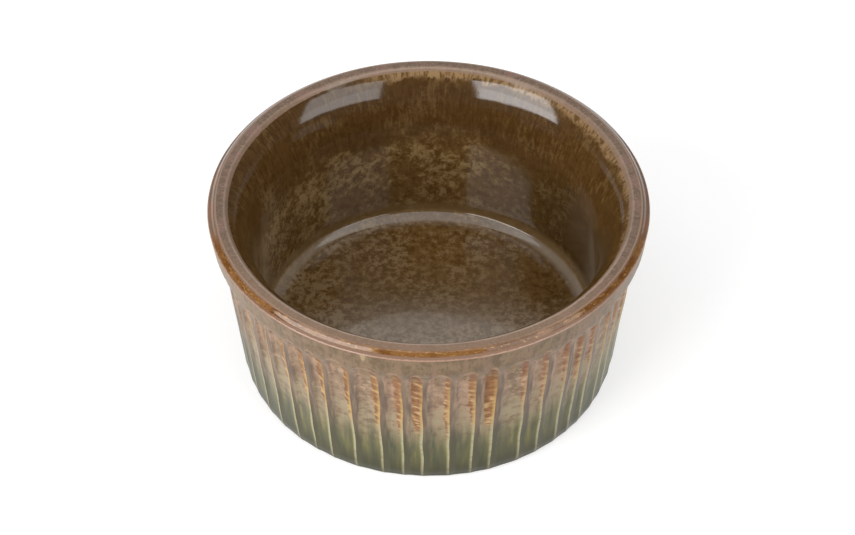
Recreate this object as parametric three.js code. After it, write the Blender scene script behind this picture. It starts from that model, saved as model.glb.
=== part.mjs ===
// Fluted stoneware dish for creme brulee: one pressed clay body and the coats of glaze fired on to it.
// Millimetres, +Z up, the foot ring stands on z = 0 and the axis of the dish is the Z axis.
import * as THREE from "three";

// Overall size
const HEIGHT = 46.5;
const RIM_RADIUS = 50.0;

// Lip, from its widest edge over the flat top to the inside
const LIP_EDGE_DROP = 1.5;
const LIP_SLANT_WIDTH = 1.8;
const LIP_SLANT_BULGE = 0.25;
const LIP_FLAT_WIDTH = 2.1;
const LIP_BEVEL_WIDTH = 1.7;
const LIP_BEVEL_DEPTH = 1.5;
const LIP_LINING_DEPTH = 1.4;

// Plain collar under the lip, and the shoulder that steps in to the fluted wall
const COLLAR_HEIGHT = 6.5;
const COLLAR_SET_IN = 0.9;
const SHOULDER_HEIGHT = 1.7;
const SHOULDER_SET_IN = 1.7;

// Fluted wall, base corner and bare foot ring
const WALL_SET_IN = 3.8;
const BASE_CORNER_HEIGHT = 2.0;
const BASE_CORNER_SET_IN = 0.6;
const BARE_FOOT_HEIGHT = 0.7;
const BARE_FOOT_SET_IN = 0.35;
const FOOT_RING_WIDTH = 4.0;
const FOOT_RECESS_SLOPE = 0.8;
const FOOT_RECESS_DEPTH = 1.0;

// Inside of the bowl: flared mouth, curved throat, nearly upright wall and rounded corner to the floor
const MOUTH_FLARE_HEIGHT = 3.1;
const MOUTH_FLARE_SET_IN = 2.2;
const THROAT_HEIGHT = 13.9;
const THROAT_SET_IN = 3.1;
const INNER_TAPER = 0.8;
const FLOOR_HEIGHT = 5.0;
const INNER_CORNER_RADIUS = 4.0;

// Coats of glaze
const GLAZE_THICKNESS = 0.4;
const GREEN_COAT_TOP = 14.5;
const BASE_GLAZE_MARGIN = 0.6;

// Flutes: hand-cut scoops of uneven width between sharp arrises, deepest under the shoulder
const FLUTE_COUNT = 53;
const FLUTE_DEPTH_TOP = 0.95;
const FLUTE_DEPTH_BASE = 0.2;
const FLUTE_RHYTHM = [7.5, 6.8, 6.0, 7.9, 8.3, 6.3, 5.5, 7.4, 7.0, 5.6, 9.0, 6.5, 7.2, 5.5, 5.5, 7.5, 5.5];
const FIRST_ARRIS = THREE.MathUtils.degToRad(-140);
// Share of the flute's width, then share of its depth
const FLUTE_SECTION = [[0, 0], [0.3, 1], [0.68, 0.8]];

// Fineness of the plain round forms
const PLAIN_COLUMNS = 60;
const CORNER_STEPS = 4;
const THROAT_STEPS = 3;

// Angles of every column of a fluted ring, with the share of the flute depth cut there
function fluteColumns() {
  const widths = [];
  for (let k = 0; k < FLUTE_COUNT; k += 1) {
    widths.push(FLUTE_RHYTHM[k % FLUTE_RHYTHM.length]);
  }
  const whole = widths.reduce((sum, width) => sum + width, 0);
  const columns = [];
  let arris = FIRST_ARRIS;
  for (const width of widths) {
    const turn = (width / whole) * 2 * Math.PI;
    for (const [across, cut] of FLUTE_SECTION) {
      const angle = arris + across * turn;
      columns.push({ angle: angle > Math.PI ? angle - 2 * Math.PI : angle, cut });
    }
    arris += turn;
  }
  return columns.sort((a, b) => a.angle - b.angle);
}

function plainColumns() {
  const columns = [];
  for (let k = 0; k < PLAIN_COLUMNS; k += 1) {
    columns.push({ angle: -Math.PI + (k / PLAIN_COLUMNS) * 2 * Math.PI, cut: 0 });
  }
  return columns;
}

const FLUTED = fluteColumns();
const PLAIN = plainColumns();

// A level ring of points round the axis
function ring(columns, radius, height, depth = 0) {
  return columns.map(({ angle, cut }) => {
    const r = radius - cut * depth;
    return { angle, at: new THREE.Vector3(r * Math.cos(angle), r * Math.sin(angle), height) };
  });
}

// Triangles between two rings that may have different numbers of columns
function bridge(first, second) {
  const faces = [];
  const turn = 2 * Math.PI;
  const angleOf = (points, k) => (k < points.length ? points[k].angle : points[0].angle + turn);
  const pointOf = (points, k) => points[k % points.length].at;
  let i = 0;
  let j = 0;
  while (i < first.length || j < second.length) {
    const firstIsNext = j >= second.length || angleOf(first, i + 1) <= angleOf(second, j + 1);
    if (i < first.length && firstIsNext) {
      faces.push([pointOf(first, i), pointOf(first, i + 1), pointOf(second, j)]);
      i += 1;
    } else {
      faces.push([pointOf(first, i), pointOf(second, j + 1), pointOf(second, j)]);
      j += 1;
    }
  }
  return faces;
}

function skin(rings) {
  const faces = [];
  for (let k = 0; k + 1 < rings.length; k += 1) {
    faces.push(...bridge(rings[k], rings[k + 1]));
  }
  return faces;
}

// Closes a ring with a flat disc, seen from above
function disc(points, height) {
  const centre = new THREE.Vector3(0, 0, height);
  return points.map((point, k) => [point.at, points[(k + 1) % points.length].at, centre]);
}

function flipped(faces) {
  return faces.map(([a, b, c]) => [a, c, b]);
}

function meshOf(name, faces, colour, roughness) {
  const positions = [];
  for (const face of faces) {
    for (const point of face) {
      positions.push(point.x, point.y, point.z);
    }
  }
  const geometry = new THREE.BufferGeometry();
  geometry.setAttribute("position", new THREE.Float32BufferAttribute(positions, 3));
  geometry.computeVertexNormals();
  const material = new THREE.MeshStandardMaterial({ color: colour, roughness, metalness: 0 });
  const mesh = new THREE.Mesh(geometry, material);
  mesh.name = name;
  return mesh;
}

// A coat between the visible rings and the clay rings under them, both run the same way
function coat(visible, clay) {
  const last = visible.length - 1;
  return [
    ...skin(visible),
    ...flipped(skin(clay)),
    ...skin([clay[0], visible[0]]),
    ...flipped(skin([clay[last], visible[last]])),
  ];
}

// Section of the outside, radius and height, from the glaze line above the foot up to the collar
const collarFoot = { r: RIM_RADIUS - COLLAR_SET_IN, z: HEIGHT - LIP_EDGE_DROP - COLLAR_HEIGHT };
const shoulder = { r: collarFoot.r - SHOULDER_SET_IN, z: collarFoot.z - SHOULDER_HEIGHT };
const glazeLine = BARE_FOOT_HEIGHT;
const baseCorner = { r: shoulder.r - WALL_SET_IN, z: glazeLine + BASE_CORNER_HEIGHT };
const glazeStart = { r: baseCorner.r - BASE_CORNER_SET_IN, z: glazeLine };

// Point on the straight fluted wall, and the depth of the flutes there
function wallAt(share) {
  return {
    r: THREE.MathUtils.lerp(baseCorner.r, shoulder.r, share),
    z: THREE.MathUtils.lerp(baseCorner.z, shoulder.z, share),
    depth: THREE.MathUtils.lerp(FLUTE_DEPTH_BASE, FLUTE_DEPTH_TOP, share),
  };
}

const greenShare = (GREEN_COAT_TOP - baseCorner.z) / (shoulder.z - baseCorner.z);
const middleShare = (greenShare + 1) / 2;
const greenStations = [{ ...glazeStart, depth: FLUTE_DEPTH_BASE }, wallAt(0), wallAt(greenShare)];
const brownStations = [
  wallAt(greenShare),
  wallAt(middleShare),
  wallAt((middleShare + 1) / 2),
  wallAt(1),
  { ...collarFoot, depth: 0 },
];

const visibleWall = (stations) => stations.map(({ r, z, depth }) => ring(FLUTED, r, z, depth));
const clayWall = (stations) => stations.map(({ r, z, depth }) => ring(FLUTED, r - GLAZE_THICKNESS, z, depth));

// Section of the lip and the inside, run from the widest edge over the top and down to the floor
const lipEdge = new THREE.Vector2(RIM_RADIUS, HEIGHT - LIP_EDGE_DROP);
const lipOuter = new THREE.Vector2(RIM_RADIUS - LIP_SLANT_WIDTH, HEIGHT);
const slant = lipOuter.clone().sub(lipEdge).normalize();
const lipBulge = lipEdge.clone().lerp(lipOuter, 0.5);
lipBulge.add(new THREE.Vector2(slant.y, -slant.x).multiplyScalar(LIP_SLANT_BULGE));
const lipInner = new THREE.Vector2(lipOuter.x - LIP_FLAT_WIDTH, HEIGHT);
const mouthTop = new THREE.Vector2(lipInner.x - LIP_BEVEL_WIDTH, HEIGHT - LIP_BEVEL_DEPTH);
const mouthFoot = new THREE.Vector2(mouthTop.x - MOUTH_FLARE_SET_IN, mouthTop.y - MOUTH_FLARE_HEIGHT);
const flare = mouthFoot.clone().sub(mouthTop).normalize();
const throatFoot = new THREE.Vector2(mouthFoot.x - THROAT_SET_IN, mouthFoot.y - THROAT_HEIGHT);
const throatBend = new THREE.Vector2(throatFoot.x, (mouthFoot.y + throatFoot.y) / 2);
const throat = new THREE.QuadraticBezierCurve(mouthFoot, throatBend, throatFoot);
const innerCorner = new THREE.Vector2(throatFoot.x - INNER_TAPER, FLOOR_HEIGHT);
const innerWall = throatFoot.clone().sub(innerCorner).normalize();
const cornerTurn = Math.PI - Math.acos(-innerWall.x);
const cornerReach = INNER_CORNER_RADIUS * Math.tan(cornerTurn / 2);
const lipFoot = mouthTop.clone().addScaledVector(flare, LIP_LINING_DEPTH);
const cornerCentre = new THREE.Vector2(innerCorner.x - cornerReach, FLOOR_HEIGHT + INNER_CORNER_RADIUS);

// Rounded corner from the wall down to the floor
const cornerPoints = [];
for (let k = 0; k <= CORNER_STEPS; k += 1) {
  const angle = cornerTurn * (1 - k / CORNER_STEPS) - Math.PI / 2;
  const spoke = new THREE.Vector2(Math.cos(angle), Math.sin(angle));
  cornerPoints.push(cornerCentre.clone().addScaledVector(spoke, INNER_CORNER_RADIUS));
}

// The clay lies one glaze thickness behind the visible section
function behind(section, before, after) {
  const points = [before, ...section, after];
  const sideOf = (a, b) => {
    const along = b.clone().sub(a).normalize();
    return new THREE.Vector2(along.y, -along.x);
  };
  return section.map((point, k) => {
    const first = sideOf(points[k], points[k + 1]);
    const second = sideOf(points[k + 1], points[k + 2]);
    const middle = first.clone().add(second).normalize();
    return point.clone().addScaledVector(middle, -GLAZE_THICKNESS / middle.dot(first));
  });
}

const lipSection = [lipEdge, lipBulge, lipOuter, lipInner, mouthTop, lipFoot];
const bowlSection = [...throat.getPoints(THROAT_STEPS), ...cornerPoints];
const section = [...lipSection, ...bowlSection];
const below = new THREE.Vector2(collarFoot.r, collarFoot.z);
const clayOfSection = behind(section, below, new THREE.Vector2(0, FLOOR_HEIGHT));
const turned = (points) => points.map((point) => ring(PLAIN, point.x, point.y));
const visibleRings = turned(section);
const clayRings = turned(clayOfSection);
const lipCount = lipSection.length;

const greenVisible = visibleWall(greenStations);
const greenClay = clayWall(greenStations);
const brownVisible = [...visibleWall(brownStations), visibleRings[0]];
const brownClay = [...clayWall(brownStations), clayRings[0]];

// Bare foot ring and the recess inside it
const footOuter = glazeStart.r - GLAZE_THICKNESS - BARE_FOOT_SET_IN;
const footInner = footOuter - FOOT_RING_WIDTH;
const recessRadius = footInner - FOOT_RECESS_SLOPE;
const recessHeight = FOOT_RECESS_DEPTH + GLAZE_THICKNESS;
const recessRing = ring(PLAIN, recessRadius, recessHeight);
const footRings = [recessRing, ring(PLAIN, footInner, 0), ring(PLAIN, footOuter, 0)];

// Clay body from the middle of the recess, up the outside, over the lip and down to the floor
const bodyRings = [...footRings, ...greenClay, ...brownClay.slice(1), ...clayRings.slice(1)];
const stonewareBody = [
  ...flipped(disc(recessRing, recessHeight)),
  ...skin(bodyRings),
  ...disc(bodyRings[bodyRings.length - 1], FLOOR_HEIGHT - GLAZE_THICKNESS),
];

// The liner closes over the floor, so its two discs take the place of an end face
const linerVisible = visibleRings.slice(lipCount - 1);
const linerClay = clayRings.slice(lipCount - 1);
const linerGlaze = [
  ...skin(linerVisible),
  ...disc(linerVisible[linerVisible.length - 1], FLOOR_HEIGHT),
  ...flipped(skin(linerClay)),
  ...flipped(disc(linerClay[linerClay.length - 1], FLOOR_HEIGHT - GLAZE_THICKNESS)),
  ...skin([linerClay[0], linerVisible[0]]),
];

const rimGlaze = coat(visibleRings.slice(0, lipCount), clayRings.slice(0, lipCount));
const wallGlazeBrown = coat(brownVisible, brownClay);
const wallGlazeGreen = coat(greenVisible, greenClay);

// Coat on the flat of the recess under the dish
const baseRadius = recessRadius - BASE_GLAZE_MARGIN;
const baseUnder = ring(PLAIN, baseRadius, FOOT_RECESS_DEPTH);
const baseOver = ring(PLAIN, baseRadius, recessHeight);
const baseGlaze = [
  ...flipped(disc(baseUnder, FOOT_RECESS_DEPTH)),
  ...skin([baseUnder, baseOver]),
  ...disc(baseOver, recessHeight),
];

const dish = new THREE.Group();
dish.name = "creme_brulee_dish";
dish.add(meshOf("stoneware_body", stonewareBody, 0xb39c80, 0.85));
dish.add(meshOf("liner_glaze", linerGlaze, 0x4f3a20, 0.15));
dish.add(meshOf("rim_glaze", rimGlaze, 0x85644a, 0.25));
dish.add(meshOf("wall_glaze_brown", wallGlazeBrown, 0x87735f, 0.35));
dish.add(meshOf("wall_glaze_green", wallGlazeGreen, 0x66644f, 0.35));
dish.add(meshOf("base_glaze", baseGlaze, 0x6e5d47, 0.3));

export default dish;
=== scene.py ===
# %% [markdown]
# A small stoneware dish for creme brulee, pressed in one piece and glazed.
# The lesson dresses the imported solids: each coat of glaze is made again as a fine closed shell,
# with the hand-cut flutes in its shape and the reactive colours of the glaze in its material.
# The clay body is made again too, because its surface lies just under those finer coats.

# %% Frame
import math
import bpy
from collections import namedtuple
from types import SimpleNamespace
from mathutils import Matrix, Vector, noise


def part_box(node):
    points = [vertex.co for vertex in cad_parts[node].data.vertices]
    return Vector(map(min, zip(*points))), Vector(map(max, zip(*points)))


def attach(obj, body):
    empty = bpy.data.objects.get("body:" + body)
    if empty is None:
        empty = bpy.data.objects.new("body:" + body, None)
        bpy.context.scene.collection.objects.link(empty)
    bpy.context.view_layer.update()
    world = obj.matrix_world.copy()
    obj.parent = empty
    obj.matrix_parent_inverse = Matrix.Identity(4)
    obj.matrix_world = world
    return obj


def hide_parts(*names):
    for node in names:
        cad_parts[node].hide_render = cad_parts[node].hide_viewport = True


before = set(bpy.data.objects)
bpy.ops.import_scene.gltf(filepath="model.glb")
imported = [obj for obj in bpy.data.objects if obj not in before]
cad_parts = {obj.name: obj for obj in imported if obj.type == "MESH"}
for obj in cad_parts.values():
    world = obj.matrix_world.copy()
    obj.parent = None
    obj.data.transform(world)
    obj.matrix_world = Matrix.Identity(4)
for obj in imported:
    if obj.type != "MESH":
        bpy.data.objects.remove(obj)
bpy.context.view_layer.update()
print("solids", sorted(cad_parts))

# %% [markdown]
# The sizes come from the solids, so the dressed dish can't drift away from them.
# Everything is worked out in millimetres, the unit a potter would use, and only the finished
# points are turned into metres.

# %% Sizes from the solids
METRE = 0.001


def span(node_name):
    low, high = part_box(node_name)
    return low / METRE, high / METRE


rim_low, rim_high = span("rim_glaze")
brown_high = span("wall_glaze_brown")[1]
green_low, green_high = span("wall_glaze_green")
liner_low = span("liner_glaze")[0]
base_low, base_high = span("base_glaze")

GLAZE = base_high.z - base_low.z
HEIGHT = rim_high.z
RIM_RADIUS = max(rim_high.x, rim_high.y)
LIP_EDGE = brown_high.z
COAT_BORDER = green_high.z
GLAZE_LINE = green_low.z
FLOOR = liner_low.z + GLAZE
BASE_DISC_RADIUS = max(base_high.x, base_high.y)
print("height", round(HEIGHT, 2), "rim radius", round(RIM_RADIUS, 2), "glaze", round(GLAZE, 2))

# %% [markdown]
# The photograph was fitted with a pinhole camera: it stands about 0.6 m off, looks down at 44
# degrees and is turned by a fraction of a degree. The dish sits a pixel off the middle.

# %% Camera
PHOTO_WIDTH = 855
FOCAL_PIXELS = 2589.0
SENSOR_WIDTH = 36.0
CAMERA_DISTANCE = 600.0
CAMERA_ELEVATION = math.radians(44.14)
CAMERA_ROLL = -0.0012
TARGET_HEIGHT = 24.48
TARGET_OFFSET_PIXELS = 1.2

camera = bpy.data.objects.new("photo_camera", bpy.data.cameras.new("photo_camera"))
bpy.context.collection.objects.link(camera)
camera.data.sensor_width = SENSOR_WIDTH
camera.data.lens = FOCAL_PIXELS / PHOTO_WIDTH * SENSOR_WIDTH
camera.data.shift_x = -TARGET_OFFSET_PIXELS / PHOTO_WIDTH
camera.data.clip_start = 0.01
camera_back = Vector((0, -math.cos(CAMERA_ELEVATION), math.sin(CAMERA_ELEVATION)))
camera_turn = (-camera_back).to_track_quat("-Z", "Y").to_matrix().to_4x4()
camera_place = (Vector((0, 0, TARGET_HEIGHT)) + camera_back * CAMERA_DISTANCE) * METRE
camera_roll = Matrix.Rotation(CAMERA_ROLL, 4, "Z")
camera.matrix_world = Matrix.Translation(camera_place) @ camera_turn @ camera_roll
bpy.context.scene.camera = camera
print("lens", round(camera.data.lens, 1), "mm")

# %% [markdown]
# The flutes were cut by hand, so no two are the same width. The rhythm of widths was read off
# the front of the dish and runs on round the back. Between two flutes a narrow land is left;
# its proud left edge is the arris where the glaze breaks to a pale line.

# %% Flute rhythm
FLUTE_COUNT = 53
FIRST_ARRIS = math.radians(-140)
WALL_RADIUS = 46.0
# Warmth runs from grey-brown at 0 to pink tan at 1, and gold from rust at 0 to amber at 1
FLUTE_LOOKS = ("amber_foot", "amber_width", "warmth", "gold")
Flute = namedtuple("Flute", ("width", *FLUTE_LOOKS))
FLUTE_RHYTHM = [
    Flute(7.5, 22, 2.2, 0.35, 0.9),
    Flute(6.8, 22, 2.0, 0.4, 0.9),
    Flute(6.0, 21, 1.9, 0.45, 0.9),
    Flute(7.9, 20, 1.6, 0.45, 1.0),
    Flute(8.3, 19, 1.8, 0.3, 0.8),
    Flute(6.3, 18, 1.8, 0.8, 0.7),
    Flute(5.5, 18, 3.0, 0.9, 0.7),
    Flute(7.4, 15, 1.2, 0.7, 0.6),
    Flute(7.0, 20, 1.6, 0.95, 0.6),
    Flute(5.6, 18, 3.0, 0.9, 0.8),
    Flute(9.0, 23, 1.4, 0.3, 0.2),
    Flute(6.5, 21, 1.4, 0.75, 0.2),
    Flute(7.2, 22, 1.5, 0.85, 0.15),
    Flute(5.5, 20, 1.7, 0.7, 0.4),
    Flute(5.5, 22, 1.3, 0.8, 0.1),
    Flute(7.5, 20, 0.9, 0.4, 0.2),
    Flute(5.5, 21, 1.2, 0.5, 0.2),
]
# Places of the columns of points across a flute
COLUMN_SHARES = (0, 0.03, 0.1, 0.17, 0.23, 0.28, 0.33, 0.39, 0.47, 0.55, 0.63, 0.7, 0.77, 0.84, 0.91, 0.97)


def flute(k):
    return FLUTE_RHYTHM[k % len(FLUTE_RHYTHM)]


class Column:
    """One upright line of points: its flute, its angle and its distances from the two arrises."""

    def __init__(self, k, share, start, turn):
        self.flute = k
        self.angle = start + share * turn
        self.width = turn * WALL_RADIUS
        self.left = share * self.width
        self.right = self.width - self.left


def flute_columns():
    whole = sum(flute(k).width for k in range(FLUTE_COUNT))
    columns = []
    start = FIRST_ARRIS
    for k in range(FLUTE_COUNT):
        turn = flute(k).width / whole * 2 * math.pi
        columns += [Column(k, share, start, turn) for share in COLUMN_SHARES]
        start += turn
    return columns


COLUMNS = flute_columns()
print(FLUTE_COUNT, "flutes,", len(COLUMNS), "columns")

# %% [markdown]
# Without its flutes the outside is a turned shape: a plain collar that leans out to the lip, a soft
# cove under it, and a wall that tapers to a small bevel at the base. Corners are pairs of a radius
# and a height.

# %% Outside without flutes
COLLAR_FOOT = (49.1, 38.5)
SHOULDER = (47.4, 36.8)
COVE = 1.3
BASE_CORNER = (43.85, 2.7)
BASE_START = (43.25, GLAZE_LINE)


def mix(a, b, share):
    return a + (b - a) * share


def rise(value, low, high):
    """Goes softly from 0 at low to 1 at high."""
    share = min(max((value - low) / (high - low), 0.0), 1.0)
    return share * share * (3 - 2 * share)


def along(first, second, z):
    return mix(first[0], second[0], (z - first[1]) / (second[1] - first[1]))


def land_radius(z):
    collar = along(COLLAR_FOOT, (RIM_RADIUS, LIP_EDGE), z)
    wall = along(BASE_CORNER, SHOULDER, z)
    corner = along(BASE_START, BASE_CORNER, z)
    wall = min(wall, corner) if z < BASE_CORNER[1] + 1 else wall
    return mix(wall, collar, rise(z, SHOULDER[1] - COVE, COLLAR_FOOT[1] + COVE))


print("radius", round(land_radius(COAT_BORDER), 1), "mm where the two coats meet")

# %% [markdown]
# Each flute is a scoop cut into that wall. It starts under a rounded arch, has a crisp left edge
# where it leaves the land, and rises on the right to the next arris. It gets shallower on its way
# down, turns into a plain hollow and has almost gone at the base. A little unevenness, as the hand
# leaves it, keeps the dish from looking machined.

# %% Scoops
LAND_WIDTH = 1.55
EDGE_WIDTH = 0.45
BANK_WIDTH = 1.9
# Shares of the depth: at the right of the land, at both sides of the hollow, and more in its belly
LAND_CUT = 0.12
LEFT_CUT = 0.85
RIGHT_CUT = 0.8
BELLY_CUT = 0.18
SCOOP_DEPTH_TOP = 0.8
SCOOP_DEPTH_BASE = 0.15
# Heights between which the scoop gets deeper, and between which its edges get crisp
DEEPENING = (2, 36)
SHARPENING = (8, 26)
ARCH_HEIGHT = 39.9
ARCH_RISE = 2.2
ARCH_UNEVEN = 0.5
ARCH_SQUARENESS = 2.6
ARCH_RUN_OUT = 2.2
# Unevenness: how far, over what size, and how far below the lip or the arch it has its full strength
HAND_WOBBLE = 0.12
WOBBLE_SIZE = 9.0
WOBBLE_BELOW = 3
ARRIS_SWAY = 0.35
SWAY_SIZE = 7.0
SWAY_BELOW = 9


def wander(x, y, z, size):
    """Slow unevenness, from about -1 to 1."""
    return noise.noise(Vector((x, y, z)) / size)


def arch_height(column):
    uneven = ARCH_UNEVEN * noise.noise(Vector((column.flute * 3.7, 0.5, 0)))
    across = (column.left - LAND_WIDTH) / (column.width - LAND_WIDTH)
    lean = abs(2 * min(max(across, 0.0), 1.0) - 1) ** ARCH_SQUARENESS
    return ARCH_HEIGHT + uneven - ARCH_RISE * lean


def scoop_share(column, z):
    """Share of the scoop's depth at one place across the flute."""
    edge_end = LAND_WIDTH + EDGE_WIDTH
    if column.left < LAND_WIDTH:
        cut = LAND_CUT * column.left / LAND_WIDTH
    elif column.left < edge_end:
        cut = mix(LAND_CUT, LEFT_CUT, rise(column.left, LAND_WIDTH, edge_end))
    elif column.right > BANK_WIDTH:
        way = (column.left - edge_end) / max(column.width - edge_end - BANK_WIDTH, 0.1)
        cut = mix(LEFT_CUT, RIGHT_CUT, way) + BELLY_CUT * math.sin(math.pi * way)
    else:
        cut = RIGHT_CUT * rise(column.right, 0, BANK_WIDTH) ** 0.8
    plain = math.sin(math.pi * (column.left / column.width) ** 0.75)
    return mix(plain, cut, rise(z, *SHARPENING))


def outside_point(column, z, inset):
    under = arch_height(column) - z
    run_out = 1 - (1 - min(max(under / ARCH_RUN_OUT, 0.0), 1.0)) ** 2
    depth = mix(SCOOP_DEPTH_BASE, SCOOP_DEPTH_TOP, rise(z, *DEEPENING))
    x = math.cos(column.angle) * WALL_RADIUS
    y = math.sin(column.angle) * WALL_RADIUS
    uneven = HAND_WOBBLE * wander(x, y, z, WOBBLE_SIZE) * rise(z, LIP_EDGE, LIP_EDGE - WOBBLE_BELOW)
    sway = ARRIS_SWAY * wander(y, x, z, SWAY_SIZE) * rise(z, ARCH_HEIGHT, ARCH_HEIGHT - SWAY_BELOW)
    radius = land_radius(z) - depth * scoop_share(column, z) * run_out + uneven - inset
    angle = column.angle + sway / WALL_RADIUS
    return radius * math.cos(angle), radius * math.sin(angle), z


print("scoops", SCOOP_DEPTH_TOP, "mm deep under the arch and", SCOOP_DEPTH_BASE, "mm at the base")

# %% [markdown]
# The rows of points follow each arch, so its edge stays crisp without a huge mesh: one row lies
# exactly on the arch, with close rows on both sides of it and wider ones further away.

# %% Rows of the outside
BELOW_ARCH = (0, 0.2, 0.45, 0.8, 1.25, 1.8, 2.6, 3.6, 5, 6.6, 8.4, 10.4, 12.6, 15, 17.4, 19.6, 21.8, 24)
ABOVE_ARCH = (0.2, 0.5, 0.9, 1.4, 2, 2.7, 3.4, 4.1, 4.8, 5.4, 5.9, 6.2, 6.4)
GREEN_HEIGHTS = (0, 0.08, 0.16, 0.25, 0.34, 0.43, 0.52, 0.62, 0.72, 0.8, 0.86, 0.91, 0.95, 0.98, 1)
CLAY_STRIDE = 4


def brown_heights(column):
    arch = arch_height(column)
    low = [arch - d * (arch - COAT_BORDER) / BELOW_ARCH[-1] for d in reversed(BELOW_ARCH)]
    high = [arch + d * (LIP_EDGE - arch) / ABOVE_ARCH[-1] for d in ABOVE_ARCH]
    return low + high


def green_heights(column):
    return [mix(COAT_BORDER, GLAZE_LINE, s) for s in reversed(GREEN_HEIGHTS)]


def outside_rows(heights_of, inset, stride=1):
    heights = [heights_of(column) for column in COLUMNS]
    picked = list(range(0, len(heights[0]), stride))
    if picked[-1] != len(heights[0]) - 1:
        picked.append(len(heights[0]) - 1)
    rows = []
    for i in picked:
        rows.append([outside_point(column, levels[i], inset) for column, levels in zip(COLUMNS, heights)])
    return rows


print(len(BELOW_ARCH) + len(ABOVE_ARCH), "rows above the border of the coats,", len(GREEN_HEIGHTS), "below")

# %% [markdown]
# Every piece is a closed skin. Rows of points are joined in a ring for a coat, which has an inner
# and an outer side, and are shut by two middle points where a piece reaches the axis.

# %% Closed skins
def closed_piece(name, rows, middles=None, crisp_rows=()):
    """Joins rows of points into a closed mesh; middles are its first and last points on the axis."""
    count = len(rows[0])
    points = [point for row in rows for point in row]
    faces = []
    for i in range(len(rows) if middles is None else len(rows) - 1):
        below = i * count
        above = (i + 1) % len(rows) * count
        for j in range(count):
            k = (j + 1) % count
            faces.append((below + j, below + k, above + k, above + j))
    if middles is not None:
        points += middles
        first = len(points) - 2
        last_row = (len(rows) - 1) * count
        for j in range(count):
            k = (j + 1) % count
            faces.append((first, k, j))
            faces.append((first + 1, last_row + j, last_row + k))
    mesh = bpy.data.meshes.new(name)
    mesh.from_pydata([Vector(point) * METRE for point in points], [], faces)
    mesh.polygons.foreach_set("use_smooth", [True] * len(mesh.polygons))
    crisp = set(crisp_rows)
    for edge in mesh.edges:
        a, b = edge.vertices
        if a // count == b // count and a // count in crisp:
            edge.use_edge_sharp = True
    piece = bpy.data.objects.new(name, mesh)
    bpy.context.collection.objects.link(piece)
    print(name, len(points), "points", len(faces), "faces")
    return piece


def note_on_points(piece, name, values):
    """Keeps one number for each point of a piece, for its material to read."""
    field = piece.data.attributes.new(name, "FLOAT", "POINT")
    field.data.foreach_set("value", values)


def note_on_corners(piece, name, value_of):
    """Keeps one number for each face corner, so that a value may jump at an arris."""
    values = []
    count = len(COLUMNS)
    for face in piece.data.polygons:
        corners = [index % count for index in face.vertices]
        start = COLUMNS[corners[0]]
        for place, corner in enumerate(corners):
            jumps = place in (1, 2) and COLUMNS[corner].flute != start.flute
            values.append(value_of(start, COLUMNS[corner], jumps))
    field = piece.data.attributes.new(name, "FLOAT", "CORNER")
    field.data.foreach_set("value", values)


def note_flutes(piece):
    note_on_corners(piece, "from_left", lambda start, here, jumps: start.width if jumps else here.left)
    note_on_corners(piece, "to_right", lambda start, here, jumps: 0.0 if jumps else here.right)
    for name in FLUTE_LOOKS:
        note_on_corners(piece, name, lambda start, here, jumps: getattr(flute(start.flute), name))
    arches = [arch_height(column) for column in COLUMNS]
    heights = [vertex.co.z / METRE for vertex in piece.data.vertices]
    under = [arches[i % len(arches)] - z for i, z in enumerate(heights)]
    note_on_points(piece, "under_arch", under)


# %% [markdown]
# The two coats on the outside meet at the dip line of the second glaze. They share that row of
# points and carry on each other's colours, so the border can't be seen, as on the dish.

# %% Coats on the outside
brown_seen = outside_rows(brown_heights, 0)
brown_clay = outside_rows(brown_heights, GLAZE, CLAY_STRIDE)
green_seen = outside_rows(green_heights, 0)
green_clay = outside_rows(green_heights, GLAZE, CLAY_STRIDE)


def coat(name, seen, clay):
    ends = (0, len(seen) - 1, len(seen), len(seen) + len(clay) - 1)
    return closed_piece(name, seen + clay[::-1], crisp_rows=ends)


collar_and_flutes = coat("collar_and_flutes_coat", brown_seen, brown_clay)
lower_flutes = coat("lower_flutes_coat", green_seen, green_clay)
note_flutes(collar_and_flutes)
note_flutes(lower_flutes)

# %% [markdown]
# The lip has a narrow ledge at its widest edge, a rounded step up from it, a nearly flat top and a
# bevelled inner edge. Inside it the mouth flares and catches the light as two bright bars at the back.
# The wall below is nearly upright. At its foot it turns tightly into a floor whose edge rises gently,
# which gives the broad pale ring there. The section is a chain of corners, each with the reach of its
# rounding.

# %% Section of the lip and the bowl
LIP_OUTER = RIM_RADIUS - 1.8
LIP_INNER = LIP_OUTER - 2.1
WALL_FOOT = (LIP_INNER - 7.34, FLOOR + 1.88)
ROUND_STEPS = 8
SECTION_GAP = 0.9
lip_and_bowl_corners = [
    (RIM_RADIUS, LIP_EDGE, 0),
    (RIM_RADIUS - 0.06, LIP_EDGE + 0.2, 0.15),
    (RIM_RADIUS - 0.8, LIP_EDGE + 0.6, 0.3),
    (RIM_RADIUS - 1.42, HEIGHT - 0.14, 0.3),
    (LIP_OUTER, HEIGHT - 0.02, 0.12),
    (LIP_INNER, HEIGHT - 0.02, 0.5),
    (LIP_INNER - 2.9, HEIGHT - 2.78, 2.4),
    (LIP_INNER - 6.82, HEIGHT - 11.16, 6.5),
    (*WALL_FOOT, 0.55),
    (LIP_INNER - 9.9, FLOOR, 2.55),
    (0.4, FLOOR, 0),
]


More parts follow.
